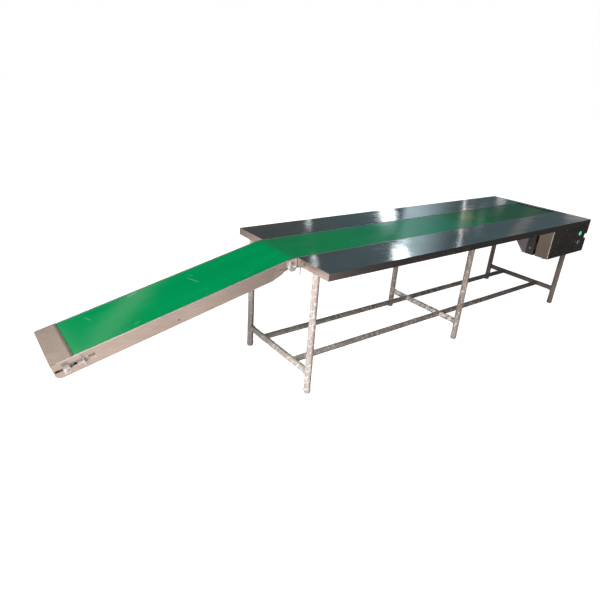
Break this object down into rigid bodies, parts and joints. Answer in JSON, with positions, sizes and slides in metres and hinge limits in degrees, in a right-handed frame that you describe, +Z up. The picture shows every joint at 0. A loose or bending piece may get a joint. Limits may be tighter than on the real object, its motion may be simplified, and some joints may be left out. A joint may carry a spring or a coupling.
{
  "type": "packing conveyor table with infeed slope",
  "caption": "Level steel work table with a flush green belt along its middle, fed by a belt slope that drops away from one end, on pipe legs with a corner control box.",
  "frame": {"origin": "floor level under the middle of the machine's bounding box", "axes": "+X towards the drive end and its control box, +Y away from the operator's side that holds the buttons, +Z up"},
  "size_m": [4.3778, 1.002, 0.86],
  "materials": {
    "wing_sheet": "polished stainless sheet",
    "frame_sheet": "warm satin stainless sheet",
    "bed_sheet": "satin sheet worn by the belt",
    "belt": "green coated belt, satin",
    "pipe": "pipe in its protective film",
    "drum_steel": "turned steel",
    "zinc": "zinc plated",
    "drive_metal": "dark grey enamel",
    "motor_metal": "grey blue enamel, slight texture",
    "chain_steel": "oiled steel",
    "box_sheet": "warm satin sheet",
    "panel_sheet": "dark mirror-like sheet",
    "switch_plastic": "black moulding",
    "green_lens": "lit green lens",
    "white_lens": "lit white lens",
    "fan_plastic": "black moulding",
    "controller_case": "grey moulding"
  },
  "bodies": {
    "frame": {"near_wing": "wing_sheet", "far_wing": "wing_sheet", "end_strip": "wing_sheet", "near_rail": "frame_sheet", "far_rail": "frame_sheet", "near_slope_plate": "frame_sheet", "far_slope_plate": "frame_sheet", "knuckle_plates": "frame_sheet", "table_bed": "bed_sheet", "slope_bed": "bed_sheet", "belt_table_top": "belt", "belt_slope_top": "belt", "belt_head_wrap": "belt", "belt_tail_wrap": "belt", "belt_return_table": "belt", "belt_return_slope": "belt", "drum_bearings": "drive_metal", "takeup_brackets": "zinc", "roller_axles": "zinc", "axle_bolts": "zinc", "tail_cover": "frame_sheet", "cover_screws": "zinc", "leg_near_left": "pipe", "leg_far_left": "pipe", "leg_near_mid": "pipe", "leg_far_mid": "pipe", "leg_near_right": "pipe", "leg_far_right": "pipe", "crossbar_left": "pipe", "crossbar_mid": "pipe", "crossbar_right": "pipe", "stretcher_near": "pipe", "stretcher_far": "pipe", "wing_beams": "frame_sheet", "drive_chain": "chain_steel", "gearbox": "motor_metal", "motor": "motor_metal", "drive_tray": "drive_metal", "control_box": "box_sheet", "front_panel": "panel_sheet", "button_bodies": "switch_plastic", "controller": "controller_case", "frame_bolts": "zinc"},
    "drive_drum": {"drive_drum": "drum_steel", "drum_sprocket": "chain_steel"},
    "takeup": {"tail_axle": "zinc", "takeup_blocks": "zinc"},
    "tail_drum": {"tail_drum": "drum_steel"},
    "takeup_screw_near": {"takeup_screw_near": "zinc"},
    "takeup_screw_far": {"takeup_screw_far": "zinc"},
    "snub_roller": {"snub_roller": "zinc"},
    "idler_a": {"idler_a": "zinc"},
    "idler_b": {"idler_b": "zinc"},
    "knuckle_roller": {"knuckle_roller": "zinc"},
    "hold_down_roller": {"hold_down_roller": "zinc"},
    "gear_output": {"gearbox_sprocket": "chain_steel"},
    "motor_rotor": {"motor_fan": "fan_plastic"},
    "green_button": {"green_button": "green_lens"},
    "white_button": {"white_button": "white_lens"},
    "selector_knob": {"selector_knob": "switch_plastic"}
  },
  "joints": [
    {"name": "drive_drum_spin", "type": "hinge", "parent": "frame", "child": "drive_drum", "pos_m": [2.09263, 0.011, 0.8177], "axis": [0, 1, 0], "continuous": true},
    {"name": "takeup_slide", "type": "slide", "parent": "frame", "child": "takeup", "axis": [0.9728, 0, 0.2317], "range_m": [0, 0.04]},
    {"name": "tail_drum_spin", "type": "hinge", "parent": "takeup", "child": "tail_drum", "pos_m": [-2.1203, 0.011, 0.51189], "axis": [0, 1, 0], "continuous": true},
    {"name": "takeup_screw_near_turn", "type": "hinge", "parent": "takeup", "child": "takeup_screw_near", "pos_m": [-2.04247, -0.197, 0.53043], "axis": [0.9728, 0, 0.2317], "range_deg": [0, 11520]},
    {"name": "takeup_screw_far_turn", "type": "hinge", "parent": "takeup", "child": "takeup_screw_far", "pos_m": [-2.04247, 0.219, 0.53043], "axis": [0.9728, 0, 0.2317], "range_deg": [0, 11520]},
    {"name": "snub_roller_spin", "type": "hinge", "parent": "frame", "child": "snub_roller", "pos_m": [2.00363, 0.011, 0.7969], "axis": [0, 1, 0], "continuous": true},
    {"name": "idler_a_spin", "type": "hinge", "parent": "frame", "child": "idler_a", "pos_m": [0.05893, 0.011, 0.7969], "axis": [0, 1, 0], "continuous": true},
    {"name": "idler_b_spin", "type": "hinge", "parent": "frame", "child": "idler_b", "pos_m": [1.01893, 0.011, 0.7969], "axis": [0, 1, 0], "continuous": true},
    {"name": "knuckle_roller_spin", "type": "hinge", "parent": "frame", "child": "knuckle_roller", "pos_m": [-0.92333, 0.011, 0.7969], "axis": [0, 1, 0], "continuous": true},
    {"name": "hold_down_roller_spin", "type": "hinge", "parent": "frame", "child": "hold_down_roller", "pos_m": [-1.55465, 0.011, 0.623], "axis": [0, 1, 0], "continuous": true},
    {"name": "gear_output_spin", "type": "hinge", "parent": "frame", "child": "gear_output", "pos_m": [1.94363, -0.222, 0.7], "axis": [0, 1, 0], "continuous": true},
    {"name": "motor_rotor_spin", "type": "hinge", "parent": "frame", "child": "motor_rotor", "pos_m": [1.64893, -0.298, 0.65], "axis": [1, 0, 0], "continuous": true},
    {"name": "green_button_push", "type": "slide", "parent": "frame", "child": "green_button", "axis": [0, 1, 0], "range_m": [0, 0.004], "stiffness_N_per_m": 400, "springref_m": -0.002},
    {"name": "white_button_push", "type": "slide", "parent": "frame", "child": "white_button", "axis": [0, 1, 0], "range_m": [0, 0.004], "stiffness_N_per_m": 400, "springref_m": -0.002},
    {"name": "selector_turn", "type": "hinge", "parent": "frame", "child": "selector_knob", "pos_m": [2.04693, -0.479, 0.672], "axis": [0, -1, 0], "range_deg": [0, 90]}
  ],
  "couplings": [
    {"joint": "tail_drum_spin", "follows": "drive_drum_spin", "ratio": 1},
    {"joint": "snub_roller_spin", "follows": "drive_drum_spin", "ratio": -2},
    {"joint": "idler_a_spin", "follows": "drive_drum_spin", "ratio": -2},
    {"joint": "idler_b_spin", "follows": "drive_drum_spin", "ratio": -2},
    {"joint": "knuckle_roller_spin", "follows": "drive_drum_spin", "ratio": -2},
    {"joint": "hold_down_roller_spin", "follows": "drive_drum_spin", "ratio": 2.5333},
    {"joint": "gear_output_spin", "follows": "drive_drum_spin", "ratio": 1.1538},
    {"joint": "motor_rotor_spin", "follows": "drive_drum_spin", "ratio": 34.615},
    {"joint": "takeup_screw_near_turn", "follows": "takeup_slide", "rad_per_m": 5026.5},
    {"joint": "takeup_screw_far_turn", "follows": "takeup_slide", "rad_per_m": 5026.5}
  ]
}
